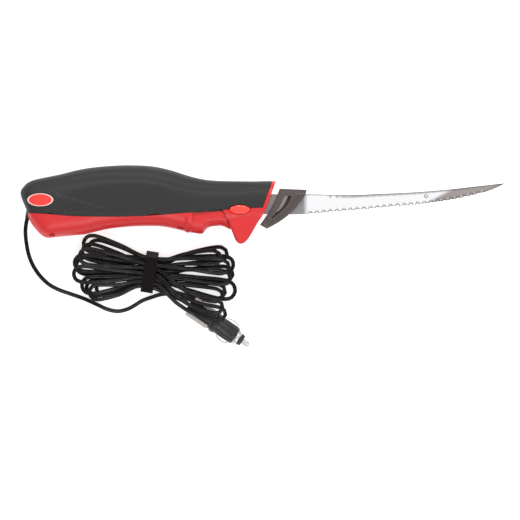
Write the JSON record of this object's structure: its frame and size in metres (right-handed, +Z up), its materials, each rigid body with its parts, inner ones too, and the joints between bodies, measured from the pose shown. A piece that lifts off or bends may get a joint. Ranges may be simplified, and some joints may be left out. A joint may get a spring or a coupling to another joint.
{
  "type": "electric fillet knife",
  "caption": "Corded electric fillet knife lying on its side, with a two-colour handle, finger trigger and guard, twin toothed blades, a tied flat cord and a vehicle lighter plug.",
  "frame": {"origin": "on the table under the middle of the knife's own bounding box, cord and plug left out", "axes": "+X along the blades to the tip, +Y to the back of the blades, +Z up from the table"},
  "size_m": [0.4972, 0.1868, 0.048],
  "materials": {
    "black_shell": "matte soft touch",
    "red_shell": "satin",
    "button_plastic": "gloss",
    "guard_plastic": "matte",
    "blade_steel": "polished",
    "plain_steel": "satin",
    "bearing_brass": "satin",
    "winding_copper": "satin",
    "pale_nylon": "matte",
    "cord_sheath": "satin",
    "strap_fabric": "matte",
    "plug_plastic": "satin",
    "pad_plastic": "satin"
  },
  "bodies": {
    "handle": {"badge_left": "red_shell", "badge_right": "red_shell", "cord_gland": "black_shell", "cord_hank": "cord_sheath", "cord_lead": "cord_sheath", "cord_tail": "cord_sheath", "cord_tie": "strap_fabric", "drive_frame": "plain_steel", "frame_screw_lower": "plain_steel", "frame_screw_upper": "plain_steel", "gear_axle": "plain_steel", "housing_screw_1": "plain_steel", "housing_screw_2": "plain_steel", "housing_screw_3": "plain_steel", "housing_screw_4": "plain_steel", "lower_housing": "red_shell", "motor_can": "plain_steel", "motor_end_cap": "pale_nylon", "motor_magnet_lower": "plain_steel", "motor_magnet_upper": "plain_steel", "motor_wire": "black_shell", "plug_body": "plug_plastic", "plug_contact_far": "plain_steel", "plug_contact_near": "plain_steel", "plug_grip": "plug_plastic", "plug_grip_pad_far": "pad_plastic", "plug_grip_pad_near": "pad_plastic", "plug_insulator": "plug_plastic", "plug_nose_ring": "plain_steel", "plug_spring": "plain_steel", "release_spring_left": "plain_steel", "release_spring_right": "plain_steel", "slider_guide": "pale_nylon", "supply_wire": "red_shell", "switch_body": "black_shell", "trigger_pin": "plain_steel", "trigger_spring": "plain_steel", "upper_housing": "black_shell", "worm_bush": "bearing_brass"},
    "rotor": {"motor_armature": "winding_copper", "motor_shaft": "plain_steel", "worm": "plain_steel"},
    "gear": {"worm_gear": "pale_nylon"},
    "blade_right_body": {"slider_right": "pale_nylon", "blade_right": "blade_steel", "blade_guard_right": "guard_plastic", "blade_rivet": "plain_steel"},
    "blade_left_body": {"slider_left": "pale_nylon", "blade_left": "blade_steel", "blade_guard_left": "guard_plastic"},
    "trigger_body": {"trigger": "red_shell"},
    "plunger_body": {"switch_plunger": "pale_nylon"},
    "button_right_body": {"release_button_right": "button_plastic"},
    "button_left_body": {"release_button_left": "button_plastic"},
    "plug_tip_body": {"plug_tip": "plain_steel"}
  },
  "joints": [
    {"name": "rotor_spin", "type": "hinge", "parent": "handle", "child": "rotor", "pos_m": [-0.14, 0.016, 0.024], "axis": [1, 0, 0], "range_deg": [-1800, 1800]},
    {"name": "gear_turn", "type": "hinge", "parent": "handle", "child": "gear", "pos_m": [-0.092, -0.0015, 0.024], "axis": [0, 0, 1], "range_deg": [-90, 90]},
    {"name": "blade_right_slide", "type": "slide", "parent": "handle", "child": "blade_right_body", "axis": [1, 0, 0], "range_m": [-0.0035, 0.0035]},
    {"name": "blade_left_slide", "type": "slide", "parent": "handle", "child": "blade_left_body", "axis": [1, 0, 0], "range_m": [-0.0035, 0.0035]},
    {"name": "trigger_pull", "type": "hinge", "parent": "handle", "child": "trigger_body", "pos_m": [-0.066, -0.0235, 0.024], "axis": [0, 0, 1], "range_deg": [0, 4], "stiffness_Nm_per_rad": 0.58, "springref_deg": -5.73, "deforming": ["trigger_spring"]},
    {"name": "plunger_slide", "type": "slide", "parent": "handle", "child": "plunger_body", "axis": [0, 1, 0], "range_m": [0, 0.00112]},
    {"name": "release_right_press", "type": "slide", "parent": "handle", "child": "button_right_body", "axis": [0, 0, -1], "range_m": [0, 0.0025], "stiffness_N_per_m": 800, "springref_m": -0.003, "deforming": ["release_spring_right"]},
    {"name": "release_left_press", "type": "slide", "parent": "handle", "child": "button_left_body", "axis": [0, 0, 1], "range_m": [0, 0.0025], "stiffness_N_per_m": 800, "springref_m": -0.003, "deforming": ["release_spring_left"]},
    {"name": "plug_tip_press", "type": "slide", "parent": "handle", "child": "plug_tip_body", "axis": [-0.8271, 0.5621, 0], "range_m": [0, 0.003], "stiffness_N_per_m": 1500, "springref_m": -0.004, "deforming": ["plug_spring"]}
  ],
  "couplings": [
    {"joint": "gear_turn", "follows": "rotor_spin", "ratio": 0.05},
    {"joint": "blade_right_slide", "follows": "rotor_spin", "m_per_rad": -0.00011141},
    {"joint": "blade_left_slide", "follows": "rotor_spin", "m_per_rad": 0.00011141},
    {"joint": "plunger_slide", "follows": "trigger_pull", "m_per_rad": 0.016}
  ]
}
